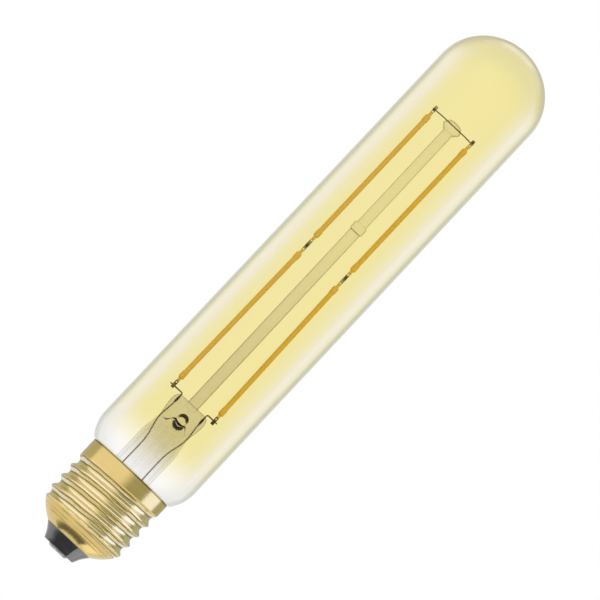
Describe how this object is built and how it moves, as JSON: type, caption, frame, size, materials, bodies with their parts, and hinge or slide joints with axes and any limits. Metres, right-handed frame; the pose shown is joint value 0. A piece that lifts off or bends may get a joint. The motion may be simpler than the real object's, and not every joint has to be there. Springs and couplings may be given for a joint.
{
  "type": "led filament bulb",
  "caption": "Tubular LED filament bulb: long tinted glass tube with a rounded end, upright filaments on a glass stem, and a gold screw cap with a centre contact.",
  "frame": {"origin": "centre of the flat of the centre contact, at the cap end", "axes": "+Z along the bulb's axis from the contact to the dome; +X to the right and -Y towards the viewer, with the filaments in the XZ plane"},
  "size_m": [0.0324, 0.0324, 0.1832],
  "materials": {
    "tinted_glass": "clear, amber tinted, fading to clear at the neck",
    "clear_glass": "clear, polished by melting",
    "black_glass": "opaque, gloss",
    "gold_cap": "bright, rolled thread",
    "nickel": "nickel plated, satin",
    "wire_metal": "drawn wire and stamped strip",
    "phosphor_coat": "matt silicone with phosphor",
    "cement": "matt",
    "board_laminate": "satin",
    "chip_plastic": "matt",
    "resistor_body": "matt",
    "capacitor_sleeve": "gloss",
    "wire_sleeve": "matt"
  },
  "bodies": {
    "root": {"glass_envelope": "tinted_glass", "stem_flare": "clear_glass", "exhaust_tube": "clear_glass", "center_post_lower": "clear_glass", "center_post_upper": "clear_glass", "cap_insulator": "black_glass", "cap_shell": "gold_cap", "center_contact": "nickel", "lead_wire_left": "wire_metal", "lead_wire_right": "wire_metal", "bridge_wire": "wire_metal", "tab_lower_foot_left": "wire_metal", "tab_lower_foot_right": "wire_metal", "tab_lower_head_left": "wire_metal", "tab_lower_head_right": "wire_metal", "tab_upper_foot_left": "wire_metal", "tab_upper_foot_right": "wire_metal", "tab_upper_head_left": "wire_metal", "tab_upper_head_right": "wire_metal", "filament_lower_left": "phosphor_coat", "filament_lower_right": "phosphor_coat", "filament_upper_left": "phosphor_coat", "filament_upper_right": "phosphor_coat", "cap_cement": "cement", "driver_board": "board_laminate", "bridge_rectifier": "chip_plastic", "driver_ic": "chip_plastic", "fuse_resistor": "resistor_body", "capacitor": "capacitor_sleeve", "contact_wire": "wire_sleeve", "shell_wire": "wire_sleeve"}
  },
  "joints": []
}
